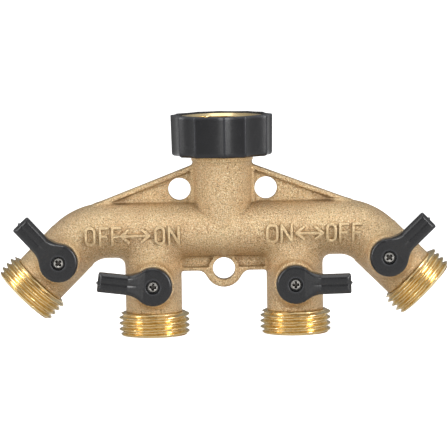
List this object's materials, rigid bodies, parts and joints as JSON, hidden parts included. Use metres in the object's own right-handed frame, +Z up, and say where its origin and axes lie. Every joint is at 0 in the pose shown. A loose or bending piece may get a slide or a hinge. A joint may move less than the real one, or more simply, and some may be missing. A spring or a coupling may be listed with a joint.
{
  "type": "hose splitter",
  "caption": "Brass garden hose splitter: a swivel inlet nut feeds a manifold whose outlets each have a quarter-turn lever valve and a male hose thread.",
  "frame": {"origin": "on the inlet axis, at the sealing face of the hose washer inside the swivel nut", "axes": "+Z up along the inlet axis, +X along the manifold tube, levers on the -Y side"},
  "size_m": [0.1714, 0.0419, 0.0841],
  "materials": {
    "cast_brass": "sand cast and shot blasted, fine sparkling grain",
    "turned_brass": "turned, bright yellow",
    "cover_plastic": "satin black moulded plastic",
    "lever_plastic": "matte charcoal moulded plastic",
    "screw_steel": "bright nickel plate",
    "spring_steel": "bright spring steel",
    "plated_ball": "chrome plated, polished",
    "ptfe": "white, waxy",
    "rubber": "moulded black rubber"
  },
  "bodies": {
    "manifold": {"manifold_body": "cast_brass", "snap_ring": "spring_steel", "hose_washer": "rubber", "tailpiece_outer_left": "turned_brass", "inlet_seat_outer_left": "ptfe", "outlet_seat_outer_left": "ptfe", "tailpiece_inner_left": "turned_brass", "inlet_seat_inner_left": "ptfe", "outlet_seat_inner_left": "ptfe", "tailpiece_inner_right": "turned_brass", "inlet_seat_inner_right": "ptfe", "outlet_seat_inner_right": "ptfe", "tailpiece_outer_right": "turned_brass", "inlet_seat_outer_right": "ptfe", "outlet_seat_outer_right": "ptfe"},
    "inlet_nut": {"swivel_nut": "turned_brass", "nut_cover": "cover_plastic"},
    "valve_outer_left": {"ball_outer_left": "plated_ball", "stem_outer_left": "turned_brass", "stem_o_ring_outer_left": "rubber", "handle_outer_left": "lever_plastic", "handle_screw_outer_left": "screw_steel"},
    "valve_inner_left": {"ball_inner_left": "plated_ball", "stem_inner_left": "turned_brass", "stem_o_ring_inner_left": "rubber", "handle_inner_left": "lever_plastic", "handle_screw_inner_left": "screw_steel"},
    "valve_inner_right": {"ball_inner_right": "plated_ball", "stem_inner_right": "turned_brass", "stem_o_ring_inner_right": "rubber", "handle_inner_right": "lever_plastic", "handle_screw_inner_right": "screw_steel"},
    "valve_outer_right": {"ball_outer_right": "plated_ball", "stem_outer_right": "turned_brass", "stem_o_ring_outer_right": "rubber", "handle_outer_right": "lever_plastic", "handle_screw_outer_right": "screw_steel"}
  },
  "joints": [
    {"name": "nut_swivel", "type": "hinge", "parent": "manifold", "child": "inlet_nut", "pos_m": [0, 0, 0], "axis": [0, 0, 1], "continuous": true},
    {"name": "lever_outer_left", "type": "hinge", "parent": "manifold", "child": "valve_outer_left", "pos_m": [-0.06267, 0, -0.04737], "axis": [0, -1, 0], "range_deg": [-4.5, 92.5]},
    {"name": "lever_inner_left", "type": "hinge", "parent": "manifold", "child": "valve_inner_left", "pos_m": [-0.02705, 0, -0.0571], "axis": [0, -1, 0], "range_deg": [0, 97]},
    {"name": "lever_inner_right", "type": "hinge", "parent": "manifold", "child": "valve_inner_right", "pos_m": [0.02705, 0, -0.0571], "axis": [0, 1, 0], "range_deg": [-6, 91]},
    {"name": "lever_outer_right", "type": "hinge", "parent": "manifold", "child": "valve_outer_right", "pos_m": [0.06267, 0, -0.04737], "axis": [0, 1, 0], "range_deg": [-8.4, 88.6]}
  ]
}
